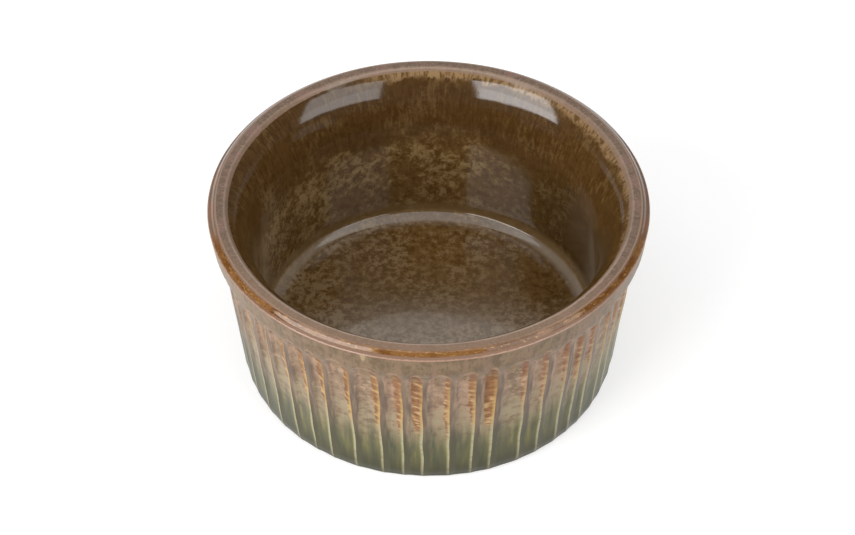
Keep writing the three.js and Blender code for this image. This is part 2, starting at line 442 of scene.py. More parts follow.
def rounded(corners):
    """Rounds a chain of (radius, height, reach) corners into a chain of points."""
    chain = [corners[0][:2]]
    for before, here, after in zip(corners, corners[1:], corners[2:]):
        spot = Vector(here[:2])
        start = spot + (Vector(before[:2]) - spot).normalized() * here[2]
        end = spot + (Vector(after[:2]) - spot).normalized() * here[2]
        for step in range(ROUND_STEPS + 1):
            way = step / ROUND_STEPS
            bent = start * (1 - way) ** 2 + spot * (2 * way * (1 - way)) + end * way ** 2
            chain.append((bent.x, bent.y))
    chain.append(corners[-1][:2])
    return chain


def evenly(chain, gap):
    """Adds points so that no step of a chain is longer than the gap."""
    dense = [chain[0]]
    for first, second in zip(chain, chain[1:]):
        start = Vector(first)
        end = Vector(second)
        parts = max(1, math.ceil((end - start).length / gap))
        dense += [tuple(start.lerp(end, p / parts)) for p in range(1, parts + 1)]
    return dense


def lengths_along(section):
    total = 0.0
    lengths = [0.0]
    for first, second in zip(section, section[1:]):
        total += (Vector(second) - Vector(first)).length
        lengths.append(total)
    return lengths


whole_section = evenly(rounded(lip_and_bowl_corners), SECTION_GAP)
whole_lengths = lengths_along(whole_section)


def mouth_distance(k):
    radius, z = whole_section[k]
    return abs(z - rim_low.z) if radius < LIP_INNER else HEIGHT


def foot_distance(k):
    return (Vector(whole_section[k]) - Vector(WALL_FOOT)).length


lip_end = min(range(len(whole_section)), key=mouth_distance)
wall_foot = min(range(len(whole_section)), key=foot_distance)
LIP_LENGTH = whole_lengths[lip_end]
FOOT_LENGTH = whole_lengths[wall_foot]
print("lip section", round(LIP_LENGTH, 1), "mm of", round(whole_lengths[-1], 1), "mm")

# %% [markdown]
# Under a coat lies the clay, one glaze thickness behind it. The section of the clay is the
# section of the coat moved back square to itself. Both are turned round the axis, with the slight
# unevenness of a glaze that flowed in the kiln. Each point keeps its place along the section,
# because the colours of the lip and the bowl change along it.

# %% Turned pieces
TURNED_COLUMNS = 288
GLAZE_WANDER = 0.07
WANDER_SIZE = 14.0
LIFT_SHARE = 0.6
LIFT_SIZE = 11.0
CALM_RADIUS = 5.0


def clay_behind(section):
    moved = []
    for k, point in enumerate(section):
        before = Vector(section[max(k - 1, 0)])
        after = Vector(section[min(k + 1, len(section) - 1)])
        run = (after - before).normalized()
        moved.append((point[0] - GLAZE * run.y, point[1] + GLAZE * run.x))
    return moved


def turned_rows(section, wobble):
    rows = []
    for radius, z in section:
        row = []
        for k in range(TURNED_COLUMNS):
            angle = 2 * math.pi * k / TURNED_COLUMNS
            x = math.cos(angle) * radius
            y = math.sin(angle) * radius
            grow = 1 + wobble * wander(x, y, z, WANDER_SIZE) / max(radius, CALM_RADIUS)
            lift = LIFT_SHARE * wobble * wander(y, z, x, LIFT_SIZE)
            row.append((x * grow, y * grow, z + lift))
        rows.append(row)
    return rows


def note_lengths(piece, lengths, at_middles=()):
    values = [length for length in lengths for k in range(TURNED_COLUMNS)]
    note_on_points(piece, "section_length", values + list(at_middles))


whole_clay = clay_behind(whole_section)
lip_seen_rows = turned_rows(whole_section[: lip_end + 1], GLAZE_WANDER)
lip_clay_rows = turned_rows(whole_clay[: lip_end + 1], GLAZE_WANDER)
lip = coat("lip_coat", lip_seen_rows, lip_clay_rows)
lip_lengths = whole_lengths[: lip_end + 1]
note_lengths(lip, lip_lengths + lip_lengths[::-1])

bowl_seen_rows = turned_rows(whole_section[lip_end:], GLAZE_WANDER)
bowl_clay_rows = turned_rows(whole_clay[lip_end:], GLAZE_WANDER)
bowl_middles = [(0, 0, FLOOR), (0, 0, FLOOR - GLAZE)]
bowl_ends = (len(bowl_seen_rows) - 1, len(bowl_seen_rows))
bowl = closed_piece("bowl_lining", bowl_seen_rows[::-1] + bowl_clay_rows, bowl_middles, bowl_ends)
bowl_lengths = whole_lengths[lip_end:]
note_lengths(bowl, bowl_lengths[::-1] + bowl_lengths, [bowl_lengths[-1]] * 2)

# %% [markdown]
# The clay body is seen only at its foot, a bare ring that was wiped clean so that it wouldn't
# stick to the kiln shelf, and in the narrow rim of the recess under the dish.

# %% Clay body and base glaze
FOOT_WIDTH = 4.0
FOOT_ROUND = 0.25
FOOT_INSET = 0.35
RECESS_SLOPE = 0.8
FOOT_OUTER = BASE_START[0] - GLAZE - FOOT_INSET
FOOT_INNER = FOOT_OUTER - FOOT_WIDTH
RECESS_RADIUS = FOOT_INNER - RECESS_SLOPE
# The last ring of points round the axis
AXIS_RING = 0.5
# Longest steps along the sections that are hardly seen
UNDER_GAP = 2.5
INSIDE_GAP = 6.0
BASE_GAP = 2.0


def ring_on_columns(section):
    rows = []
    for radius, z in section:
        rows.append([(radius * math.cos(c.angle), radius * math.sin(c.angle), z) for c in COLUMNS])
    return rows


under_corners = [
    (AXIS_RING, base_high.z, 0),
    (RECESS_RADIUS, base_high.z, 0.3),
    (FOOT_INNER, 0.0, 0.3),
    (FOOT_OUTER, 0.0, FOOT_ROUND),
    (FOOT_OUTER + 0.1, GLAZE_LINE - 0.02, 0),
]
under_section = evenly(rounded(under_corners), UNDER_GAP)
inside_section = evenly(whole_clay[::2] + [(AXIS_RING, FLOOR - GLAZE)], INSIDE_GAP)
body_rows = ring_on_columns(under_section) + green_clay + brown_clay[1:] + ring_on_columns(inside_section)
body = closed_piece("clay_body", body_rows, [(0, 0, base_high.z), (0, 0, FLOOR - GLAZE)])

base_corners = [
    (AXIS_RING, base_high.z, 0),
    (BASE_DISC_RADIUS, base_high.z, 0.05),
    (BASE_DISC_RADIUS, base_low.z + 0.05, 0.15),
    (BASE_DISC_RADIUS - 2, base_low.z, 0.6),
    (AXIS_RING, base_low.z, 0),
]
base_section = evenly(rounded(base_corners), BASE_GAP)
base_rows = turned_rows(base_section[::-1], 0)
base_coat = closed_piece("recess_glaze", base_rows, [(0, 0, base_low.z), (0, 0, base_high.z)])

# %% [markdown]
# Colours are written as they look on screen and turned into the linear values that the renderer
# works in. One helper adds a node, sets it and links it, and every material is built from it.
# A glaze is built up in layers, as on the dish: each lies softly over what is below it, from none of
# it at one value of a measure to the most of it at another. The settings that come up again and again
# have a plain name.

# %% Node helper
SOFT = {"interpolation_type": "SMOOTHSTEP"}
TIMES = {"operation": "MULTIPLY"}
PLUS = {"operation": "ADD"}
MINUS = {"operation": "SUBTRACT"}


def colour(code):
    parts = [int(code[k : k + 2], 16) / 255 for k in (0, 2, 4)]
    linear = [p / 12.92 if p <= 0.04045 else ((p + 0.055) / 1.055) ** 2.4 for p in parts]
    return (*linear, 1.0)


def add(tree, kind, *values, out=0, named=None, **settings):
    """Adds a node; values go into its inputs in order or by name, as numbers, colours or links."""
    step = tree.nodes.new("ShaderNode" + kind)
    for name, value in settings.items():
        setattr(step, name, value)
    for socket, value in [*enumerate(values), *(named or {}).items()]:
        if isinstance(value, bpy.types.NodeSocket):
            tree.links.new(value, step.inputs[socket])
        else:
            step.inputs[socket].default_value = value
    return step.outputs[out] if len(step.outputs) else step


def layer(tree, below, above, measure, none_at, most_at, most=1.0):
    """Lays one colour softly over another, between two values of a measure."""
    share = add(tree, "MapRange", measure, none_at, most_at, 0.0, most, **SOFT)
    return add(tree, "MixRGB", share, below, above)


def new_finish(name):
    material = bpy.data.materials.new(name)
    material.use_nodes = True
    material.node_tree.nodes.clear()
    return material, material.node_tree


def close_finish(material, look):
    """Gives a finish its shader, set to the look, and says how many nodes it took."""
    tree = material.node_tree
    add(tree, "OutputMaterial", add(tree, "BsdfPrincipled", named=look))
    print(material.name, len(tree.nodes), "nodes")


print("mid grey in linear light", round(colour("808080")[0], 3))

# %% [markdown]
# Patterns are measured on the dish itself, in millimetres: across it, up it, or round its axis, where
# streaks and dashes are stretched along their run.

# %% Places on the dish
def per_mm(size):
    """Scale of a pattern whose marks are about this many millimetres, in a space of metres."""
    return 1 / (size * METRE)


def in_mm(tree, axis):
    """One coordinate on the dish."""
    place = add(tree, "TexCoord", out="Object")
    return add(tree, "Math", add(tree, "SeparateXYZ", place, out=axis), 1 / METRE, **TIMES)


def round_the_axis(tree, across, length, length_value):
    """Space for streaks: even steps round the dish, and stretched steps along a length."""
    place = add(tree, "TexCoord", out="Object")
    flat = add(tree, "VectorMath", place, (1, 1, 0), **TIMES)
    spoke = add(tree, "VectorMath", flat, operation="NORMALIZE")
    wide = add(tree, "VectorMath", spoke, named={"Scale": WALL_RADIUS / across}, operation="SCALE")
    run = add(tree, "Math", length_value, 1 / length, **TIMES)
    lift = add(tree, "CombineXYZ", named={"Z": run})
    return add(tree, "VectorMath", wide, lift, **PLUS)


print("marks of 1 mm have a scale of", round(per_mm(1)))

# %% [markdown]
# Bare stoneware at the foot is matt and buff, with dark grains of iron. The grains are drawn a
# little coarser than life so that they survive at this picture size.

# %% Bare stoneware
clay_finish, tree = new_finish("bare_buff_stoneware")
place = add(tree, "TexCoord", out="Object")
grain = add(tree, "TexNoise", named={"Vector": place, "Scale": per_mm(0.5), "Detail": 3.0})
cloud = add(tree, "TexNoise", named={"Vector": place, "Scale": per_mm(6), "Detail": 2.0})
buff = add(tree, "MixRGB", cloud, colour("8f7557"), colour("a98e6c"))
speckled = layer(tree, buff, colour("5b442e"), grain, 0.62, 0.7)
rough_bump = add(tree, "Bump", named={"Height": grain, "Strength": 0.25, "Distance": 0.0002})
clay_look = {"Base Color": speckled, "Roughness": 0.85, "Normal": rough_bump}
close_finish(clay_finish, clay_look)

# %% [markdown]
# The outside is a reactive glaze: grey-brown where it lies thick on the collar, mauve on the lands,
# pink tan in the hollows, amber with yellow flecks on the bank left of each arris, and grey-green
# with olive towards the base, where a second glaze runs over it. Over every edge it breaks pale.
# The colours share a few places and patterns, so these are made first. The grain is drawn at half a
# millimetre, a little coarser than the real crystals.

# %% Patterns of the wall glaze
MOTTLE = 2.6
# Marks that follow the wall: their width and height in millimetres, and how fine and rough they are
Marks = namedtuple("Marks", "across tall detail roughness")
WALL_MARKS = {
    "grain": Marks(0.5, 1.25, 3.0, 0.5),
    "streak": Marks(1.7, 11.0, 3.0, 0.5),
    "dash": Marks(2.4, 1.0, 4.0, 0.5),
    "smudge": Marks(2.4, 1.5, 5.0, 0.65),
    "thread": Marks(0.9, 6.0, 3.0, 0.5),
}


def wall_patterns(tree):
    w = SimpleNamespace(height=in_mm(tree, "Z"))
    for name in ("from_left", "to_right", "under_arch", *FLUTE_LOOKS):
        setattr(w, name, add(tree, "Attribute", out="Fac", attribute_name=name))
    clouds = {"Scale": per_mm(MOTTLE), "Detail": 4.0, "Roughness": 0.6}
    clouds["Vector"] = add(tree, "TexCoord", out="Object")
    w.mottle = add(tree, "TexNoise", named=clouds)
    for name, marks in WALL_MARKS.items():
        look = {"Scale": 1.0, "Detail": marks.detail, "Roughness": marks.roughness}
        look["Vector"] = round_the_axis(tree, marks.across, marks.tall, w.height)
        setattr(w, name, add(tree, "TexNoise", named=look))
    return w


print("marks on the wall:", ", ".join(WALL_MARKS))

# %% [markdown]
# The collar is the plain ground of the glaze, mottled, with pinkish streaks and dark specks. The
# hollows run from grey-brown to pink tan, flute by flute, with light and dark smudges. The second
# glaze creeps up over them in soft olive runs, under a paler band where the two glazes meet.

# %% Collar, hollows and lower wall
# Heights at which the second glaze starts to cover the first, and covers all of it
SECOND_GLAZE = (22.0, 9.5)


def collar_colour(tree, w):
    marks = add(tree, "MixRGB", 0.35, w.mottle, w.grain)
    ground = layer(tree, colour("6e5a42"), colour("8a7358"), marks, 0.38, 0.62)
    ground = layer(tree, ground, colour("8f725d"), w.streak, 0.48, 0.7, 0.8)
    return layer(tree, ground, colour("5c4b36"), w.grain, 0.4, 0.3, 0.6)


def lower_share(tree, w):
    """Where the second glaze covers the first, with ragged runs up the flutes."""
    ragged = add(tree, "Math", add(tree, "Math", w.streak, 0.5, **MINUS), 12.0, **TIMES)
    return add(tree, "MapRange", add(tree, "Math", w.height, ragged, **PLUS), *SECOND_GLAZE, **SOFT)


def green_colour(tree, w):
    green = layer(tree, colour("4c4e3a"), colour("5e5c40"), w.streak, 0.34, 0.5)
    green = layer(tree, green, colour("746f40"), w.streak, 0.5, 0.7)
    green = layer(tree, green, colour("716b37"), w.to_right, 2.2, 0.4, 0.6)
    return layer(tree, green, colour("403f2a"), w.height, 11.0, 1.0)


def hollow_colour(tree, w, second_glaze):
    cool = layer(tree, colour("6f5d48"), colour("8b7860"), w.mottle, 0.36, 0.64)
    warm = layer(tree, colour("97795f"), colour("b0927a"), w.mottle, 0.36, 0.64)
    hollow = add(tree, "MixRGB", w.warmth, cool, warm)
    hollow = layer(tree, hollow, colour("b69a7e"), w.smudge, 0.53, 0.63, 0.8)
    hollow = layer(tree, hollow, colour("7a6250"), w.smudge, 0.46, 0.36, 0.7)
    patchy = add(tree, "MapRange", w.smudge, 0.4, 0.56, 0.1, 0.9)
    hollow = layer(tree, hollow, colour("9d8f72"), w.height, 28.0, 22.0, patchy)
    return add(tree, "MixRGB", second_glaze, hollow, green_colour(tree, w))


print("the second glaze starts about", SECOND_GLAZE[0], "mm up")

# %% [markdown]
# Where the glaze runs thin over the edge of a scoop it breaks to a pale pink halo, round the arch and
# down the left side. The land beyond that edge is mauve all the way down, and soft at its side,
# because the glaze flowed off it.

# %% Halos and lands
def with_halo(tree, w, wall):
    high = add(tree, "MapRange", w.under_arch, 15.0, 1.0, **SOFT)
    side = add(tree, "MapRange", w.from_left, 3.2, 2.0, 0.0, high, **SOFT)
    top = add(tree, "MapRange", w.under_arch, 3.6, 1.0, **SOFT)
    halo = add(tree, "Math", side, top, operation="MAXIMUM")
    patchy = add(tree, "MapRange", w.smudge, 0.38, 0.56, 0.15, 1.0, **SOFT)
    halo = add(tree, "Math", halo, patchy, **TIMES)
    return add(tree, "MixRGB", halo, wall, colour("b8977f"))


def with_land(tree, w, wall, second_glaze):
    land = layer(tree, colour("6b594b"), colour("826f5d"), w.thread, 0.36, 0.64)
    land = layer(tree, land, colour("84735f"), w.height, 31.0, 38.0, 0.7)
    land = add(tree, "MixRGB", second_glaze, land, colour("504d38"))
    waver = add(tree, "Math", add(tree, "Math", w.thread, 0.5, **MINUS), 2.4, **TIMES)
    uneven_left = add(tree, "Math", w.from_left, waver, **PLUS)
    below_collar = add(tree, "MapRange", w.height, 43.0, 33.0, **SOFT)
    return layer(tree, wall, land, uneven_left, 2.1, 0.9, below_collar)


# %% [markdown]
# The amber lies on the bank left of the arris. It is rust brown under the arch, breaks into yellow
# flecks and short level dashes lower down, and ends raggedly where it thins out. The edge of the
# arch over it is pale in places.

# %% Amber banks
def with_amber(tree, w, wall):
    above_foot = add(tree, "Math", w.height, w.amber_foot, **MINUS)
    narrowing = add(tree, "MapRange", above_foot, 0.0, 9.0, 0.6, 1.0)
    reach = add(tree, "Math", w.amber_width, narrowing, **TIMES)
    jag = add(tree, "Math", add(tree, "Math", w.smudge, 0.5, **MINUS), 2.2, **TIMES)
    nearness = add(tree, "Math", add(tree, "Math", w.to_right, jag, **PLUS), reach, operation="DIVIDE")
    ragged_foot = add(tree, "Math", above_foot, add(tree, "Math", w.dash, 8.0, **TIMES), **PLUS)
    share = add(tree, "MapRange", ragged_foot, 2.5, 5.0, **SOFT)
    share = add(tree, "MapRange", w.under_arch, -0.2, 1.1, 0.0, share, **SOFT)
    share = add(tree, "MapRange", w.from_left, 1.6, 2.3, 0.0, share, **SOFT)
    amber = layer(tree, colour("784d25"), colour("936639"), w.dash, 0.34, 0.54)
    rust = layer(tree, colour("845a42"), colour("9c7258"), w.dash, 0.34, 0.54)
    amber = add(tree, "MixRGB", w.gold, rust, amber)
    more_low_down = add(tree, "MapRange", above_foot, 2.0, 16.0, 0.08, 0.0)
    flecks = add(tree, "Math", w.dash, more_low_down, **PLUS)
    straw = add(tree, "MixRGB", w.gold, colour("b99a80"), colour("bf9f6a"))
    amber = layer(tree, amber, straw, flecks, 0.55, 0.7)
    amber = layer(tree, amber, colour("855534"), w.under_arch, 4.0, 0.8, 0.8)
    return layer(tree, wall, amber, nearness, 1.15, 0.85, share)


def with_arch_edge(tree, w, wall):
    patchy = add(tree, "MapRange", w.smudge, 0.4, 0.55, 0.2, 0.75, **SOFT)
    return layer(tree, wall, colour("b5957c"), w.under_arch, 1.5, 0.6, patchy)


amber_feet = [each.amber_foot for each in FLUTE_RHYTHM]
print("the amber ends from", min(amber_feet), "to", max(amber_feet), "mm up")

# %% [markdown]
# The arris itself is the thinnest place. The glaze breaks there to straw above and to a pale
# yellow-green below. One cream run hangs below the lip at the front, where a drop slid down.

# %% Arrises and the cream run
RUN_RADIUS = 49.6
RUN_ANGLE = math.radians(-16.5)
RUN_SIDE = RUN_RADIUS * math.sin(RUN_ANGLE)
RUN_LENGTH = 2.4
RUN_END = LIP_EDGE - RUN_LENGTH


def with_arris(tree, w, wall):
    above_base = add(tree, "MapRange", w.height, 1.5, 8.0, 0.45, 1.0)
    below_top = add(tree, "MapRange", w.under_arch, 3.0, 14.0, 0.15, 1.0)
    broken = add(tree, "MapRange", w.dash, 0.3, 0.5, 0.5, 1.0)
    share = add(tree, "Math", add(tree, "Math", below_top, above_base, **TIMES), broken, **TIMES)
    upper = add(tree, "MixRGB", w.gold, colour("b59a74"), colour("c09a58"))
    line = layer(tree, upper, colour("b0a985"), w.height, 24.0, 14.0)
    return layer(tree, wall, line, w.to_right, 0.9, 0.2, share)


def with_cream_run(tree, w, wall):
    off_middle = add(tree, "Math", in_mm(tree, "X"), RUN_SIDE, **MINUS)
    off_middle = add(tree, "Math", off_middle, operation="ABSOLUTE")
    half_width = add(tree, "MapRange", w.height, RUN_END, LIP_EDGE, 0.15, 0.75)
    off_share = add(tree, "Math", off_middle, half_width, operation="DIVIDE")
    above_end = add(tree, "MapRange", w.height, RUN_END, RUN_END + 0.8, 0.0, 0.7)
    front = add(tree, "Math", in_mm(tree, "Y"), 0.0, operation="LESS_THAN")
    share = add(tree, "Math", above_end, front, **TIMES)
    return layer(tree, wall, colour("b9a27c"), off_share, 1.2, 0.6, share)


print("the cream run ends", round(RUN_END, 1), "mm up")

# %% [markdown]
# The finished wall glaze is satin: fine crystals at its surface dull the mirror shine, so its
# reflections are weak and blurred and its colours stay deep.

# %% Wall glaze
def wall_glaze(name):
    material, tree = new_finish(name)
    w = wall_patterns(tree)
    second_glaze = lower_share(tree, w)
    wall = hollow_colour(tree, w, second_glaze)
    wall = with_halo(tree, w, wall)
    wall = with_amber(tree, w, wall)
    wall = with_arch_edge(tree, w, wall)
    wall = with_arris(tree, w, wall)
    wall = layer(tree, wall, collar_colour(tree, w), w.under_arch, 0.5, -0.7)
    wall = with_land(tree, w, wall, second_glaze)
    wall = with_cream_run(tree, w, wall)
    gloss = add(tree, "MapRange", w.mottle, 0.0, 1.0, 0.28, 0.44)
    skin = add(tree, "Bump", named={"Height": w.mottle, "Strength": 0.12, "Distance": 0.0003})
    look = {"Base Color": wall, "Roughness": gloss, "Specular IOR Level": 0.22, "Normal": skin}
    close_finish(material, look)
    return material


brown_finish = wall_glaze("mauve_and_amber_wall_glaze")
green_finish = wall_glaze("grey_green_wall_glaze")

# %% [markdown]
# The bowl is lined with a glossy brown glaze. It ran down the upper wall in fine streaks and gathered
# lower down, where olive tan blotches float in dark brown. On the floor the blotches are closer and
# smaller. The coat is darker on the right and at the back of the mouth.

# %% Wall and floor of the bowl
SPECKLE_START = LIP_LENGTH + 7
SPECKLE_FULL = LIP_LENGTH + 22


def lining_patterns(tree, run):
    b = SimpleNamespace(side=in_mm(tree, "X"), depth=in_mm(tree, "Y"))
    b.to_side = add(tree, "Math", b.side, operation="ABSOLUTE")
    b.past_foot = add(tree, "Math", run, FOOT_LENGTH, **MINUS)
    b.on_floor = add(tree, "MapRange", b.past_foot, 1.0, 4.0, **SOFT)
    place = add(tree, "TexCoord", out="Object")
    large = {"Vector": place, "Scale": per_mm(1.8), "Detail": 8.0, "Roughness": 0.75, "Distortion": 0.3}
    small = {"Vector": place, "Scale": per_mm(1.4), "Detail": 6.0, "Roughness": 0.62}
    large, small = (add(tree, "TexNoise", named=look) for look in (large, small))
    b.blots = add(tree, "MixRGB", b.on_floor, large, small)
    drifts = add(tree, "TexNoise", named={"Vector": place, "Scale": per_mm(9), "Detail": 3.0})
    b.drifts = add(tree, "Math", add(tree, "Math", drifts, 0.5, **MINUS), 0.4, **TIMES)
    streaks = {"Scale": 1.0, "Detail": 5.0, "Roughness": 0.65}
    streaks["Vector"] = round_the_axis(tree, 0.8, 3.2, run)
    b.streaks = add(tree, "TexNoise", named=streaks)
    return b


def upper_lining(tree, b):
    patchy = add(tree, "MixRGB", 0.5, b.streaks, b.blots)
    upper = layer(tree, colour("412b12"), colour("51391c"), patchy, 0.38, 0.56)
    upper = layer(tree, upper, colour("614a2b"), add(tree, "Math", patchy, b.drifts, **PLUS), 0.52, 0.66)
    return layer(tree, upper, colour("2e1c08"), b.depth, 20.0, 42.0, 0.35)


def lower_lining(tree, b):
    lower = layer(tree, colour("4d3515"), colour("624826"), b.blots, 0.36, 0.54)
    more_to_left = add(tree, "MapRange", b.side, 0.0, -30.0, 0.0, 0.05)
    floats = add(tree, "Math", add(tree, "Math", b.blots, b.drifts, **PLUS), more_to_left, **PLUS)
    weaker = add(tree, "MapRange", b.past_foot, 0.0, 5.0, 1.0, 0.5)
    olive = add(tree, "MixRGB", b.on_floor, colour("846d49"), colour("857257"))
    lower = layer(tree, lower, olive, floats, 0.5, 0.68, weaker)
    right_darkening = add(tree, "MapRange", b.past_foot, -2.0, 4.0, 0.7, 0.3)
    return layer(tree, lower, colour("2e1e08"), b.side, 8.0, 34.0, right_darkening)


print("blotches from", round(SPECKLE_START, 1), "mm along the section, floor from", round(FOOT_LENGTH, 1))

# %% [markdown]
# The middle and the front of the floor are painted grey, a painted reflection of the bright room seen over
# the back rim. The foot of the wall is painted paler, as painted bounce light from the floor, and the edge
# of the floor on the left and the right is painted pale, a painted reflection of the overhead light there.
# A glaze as rich in iron as this has a high index, so it shines more than window glass. It flowed
# level in the kiln, and only slow waves are left in it.

# %% Bowl lining glaze
LINING_IOR = 1.58


def with_painted_floor_sheen(tree, b, lower):
    # Painted reflection: the middle of the floor is painted greyer and its front grey, for the bright room
    # seen over the back rim
    in_middle = add(tree, "MapRange", b.to_side, 28.0, 12.0, 0.0, 0.35, **SOFT)
    middle_sheen_share = add(tree, "Math", in_middle, b.on_floor, **TIMES)
    lower = layer(tree, lower, colour("6b5d4b"), b.depth, 30.0, 0.0, middle_sheen_share)
    grey = layer(tree, colour("97856f"), colour("c0b09c"), b.blots, 0.38, 0.62)
    front_sheen_share = add(tree, "Math", b.on_floor, 0.9, **TIMES)
    return layer(tree, lower, grey, b.depth, 12.0, -26.0, front_sheen_share)


def with_painted_foot_light(tree, b, lower):
    # Painted bounce light: the foot of the wall is painted paler, for light thrown up from the floor
    bounce_light_share = add(tree, "MapRange", b.past_foot, 0.6, 0.0, 0.0, 0.65)
    lower = layer(tree, lower, colour("745c3c"), b.past_foot, -4.0, -0.8, bounce_light_share)
    # Painted reflection: the edge of the floor on the left and the right is painted pale, for the overhead
    # light seen in the ring
    ring_end = add(tree, "MapRange", b.past_foot, 3.2, 1.6, **SOFT)
    ring_sheen_share = add(tree, "MapRange", b.to_side, 10.0, 30.0, 0.0, 0.55, **SOFT)
    ring_sheen_share = add(tree, "Math", ring_sheen_share, ring_end, **TIMES)
    return layer(tree, lower, colour("8f8171"), b.past_foot, -0.2, 0.8, ring_sheen_share)


def lining_colour(tree, run):
    b = lining_patterns(tree, run)
    lower = with_painted_foot_light(tree, b, with_painted_floor_sheen(tree, b, lower_lining(tree, b)))
    speckled = add(tree, "MapRange", run, SPECKLE_START, SPECKLE_FULL)
    speckled = add(tree, "Math", speckled, add(tree, "Math", b.drifts, 2.5, **TIMES), **PLUS)
    return layer(tree, upper_lining(tree, b), lower, speckled, 0.2, 0.8), b.blots


bowl_finish, tree = new_finish("glossy_brown_lining_glaze")
lining, blots = lining_colour(tree, add(tree, "Attribute", out="Fac", attribute_name="section_length"))
place = add(tree, "TexCoord", out="Object")
waves = add(tree, "TexNoise", named={"Vector": place, "Scale": per_mm(4), "Detail": 1.0})
lining_waves = add(tree, "Bump", named={"Height": waves, "Strength": 0.08, "Distance": 0.0003})
lining_bump = {"Height": blots, "Strength": 0.03, "Distance": 0.0003, "Normal": lining_waves}
lining_bump = add(tree, "Bump", named=lining_bump)
lining_look = {"Base Color": lining, "Roughness": 0.09, "IOR": LINING_IOR, "Normal": lining_bump}
close_finish(bowl_finish, lining_look)

# %% [markdown]
# Over the lip the outside glaze runs thin. Its slant is reddish, and browner at the front, with an
# amber band round the front half that stands higher at the front than at the sides. The flat is mauve
# with fine radial streaks, pale specks and dark pits.
# The places are lengths along the section, from the widest edge inwards.

# %% Slant and flat of the lip
SLANT_END = 2.4
FLAT_END = 4.6
# The side where the flat is palest: the front, a little to the left
PALE_SIDE = Vector((-0.12, -0.99, 0)) / METRE


def lip_patterns(tree):
    p = SimpleNamespace(side=in_mm(tree, "X"), depth=in_mm(tree, "Y"))
    p.run = add(tree, "Attribute", out="Fac", attribute_name="section_length")
    p.place = add(tree, "TexCoord", out="Object")
    p.cloud = add(tree, "TexNoise", named={"Vector": p.place, "Scale": per_mm(5), "Detail": 3.0})
    p.fine = add(tree, "TexNoise", named={"Vector": p.place, "Scale": per_mm(0.5), "Detail": 2.0})
    spokes = {"Scale": 1.0, "Detail": 5.0, "Roughness": 0.6}
    spokes["Vector"] = round_the_axis(tree, 0.8, 2.5, p.run)
    p.spokes = add(tree, "TexNoise", named=spokes)
    dashes = {"Vector": round_the_axis(tree, 1.1, 0.4, p.run), "Scale": 1.0, "Detail": 2.0}
    p.dash = add(tree, "TexNoise", named=dashes)
    p.uneven = add(tree, "Math", p.spokes, 0.5, **MINUS)
    p.ragged = add(tree, "Math", p.run, add(tree, "Math", p.uneven, 0.5, **TIMES), **PLUS)
    return p


def slant_colour(tree, p):
    amber = layer(tree, colour("5f3b16"), colour("7b5530"), p.cloud, 0.38, 0.6)
    amber = layer(tree, amber, colour("946f40"), p.dash, 0.56, 0.68)
    amber = layer(tree, amber, colour("52300f"), p.fine, 0.6, 0.7)
    reddish = layer(tree, colour("7a5c4a"), colour("705a4c"), p.cloud, 0.38, 0.6)
    reddish = layer(tree, reddish, colour("6c4726"), p.depth, -30.0, -45.0, 0.6)
    amber_start = add(tree, "MapRange", p.depth, -20.0, -45.0, 0.45, 1.0)
    past_start = add(tree, "Math", p.ragged, amber_start, **MINUS)
    amber_end = add(tree, "MapRange", p.depth, -30.0, -47.0, 1.9, 2.5)
    to_end = add(tree, "Math", amber_end, p.ragged, **MINUS)
    share = add(tree, "MapRange", p.depth, -6.0, -18.0, **SOFT)
    share = add(tree, "MapRange", to_end, -0.15, 0.15, 0.0, share, **SOFT)
    return layer(tree, reddish, amber, past_start, -0.12, 0.12, share)


def flat_colour(tree, p):
    flat = layer(tree, colour("55402f"), colour("66503d"), p.spokes, 0.35, 0.65)
    flat = layer(tree, flat, colour("6d5144"), p.cloud, 0.48, 0.66)
    to_pale_side = add(tree, "VectorMath", p.place, PALE_SIDE, out="Value", operation="DOT_PRODUCT")
    flat = layer(tree, flat, colour("80654e"), to_pale_side, 10.0, 40.0, 0.6)
    flat = layer(tree, flat, colour("937a66"), p.fine, 0.56, 0.68, 0.4)
    return layer(tree, flat, colour("4d3825"), p.fine, 0.4, 0.3, 0.5)


print("slant to", SLANT_END, "mm and flat to", FLAT_END, "mm along the section")

# %% [markdown]
# Over its edges the glaze of the lip breaks pale: to a pink line on the widest edge and to light lines
# on both edges of the flat. On the bevel it turns to beige streaks, which end raggedly over the brown
# of the bowl and are missing on one side, where the brown was wiped higher.

# %% Lip glaze
BEIGE_START = FLAT_END + 0.9
BEIGE_END = BEIGE_START + 2.2
LIP_IOR = 1.5


def with_pale_lines(tree, p, glaze):
    share = add(tree, "MapRange", p.depth, -40.0, -47.0, 0.7, 0.15)
    share = add(tree, "MapRange", p.ragged, SLANT_END + 0.3, SLANT_END + 0.1, 0.0, share)
    glaze = layer(tree, glaze, colour("8f7560"), p.ragged, SLANT_END - 0.3, SLANT_END - 0.1, share)
    share = add(tree, "MapRange", p.depth, -10.0, -40.0, 0.4, 1.0)
    glaze = layer(tree, glaze, colour("9a8472"), p.ragged, FLAT_END - 0.6, FLAT_END - 0.2, share)
    return layer(tree, glaze, colour("a1806c"), p.ragged, 0.42, 0.2)


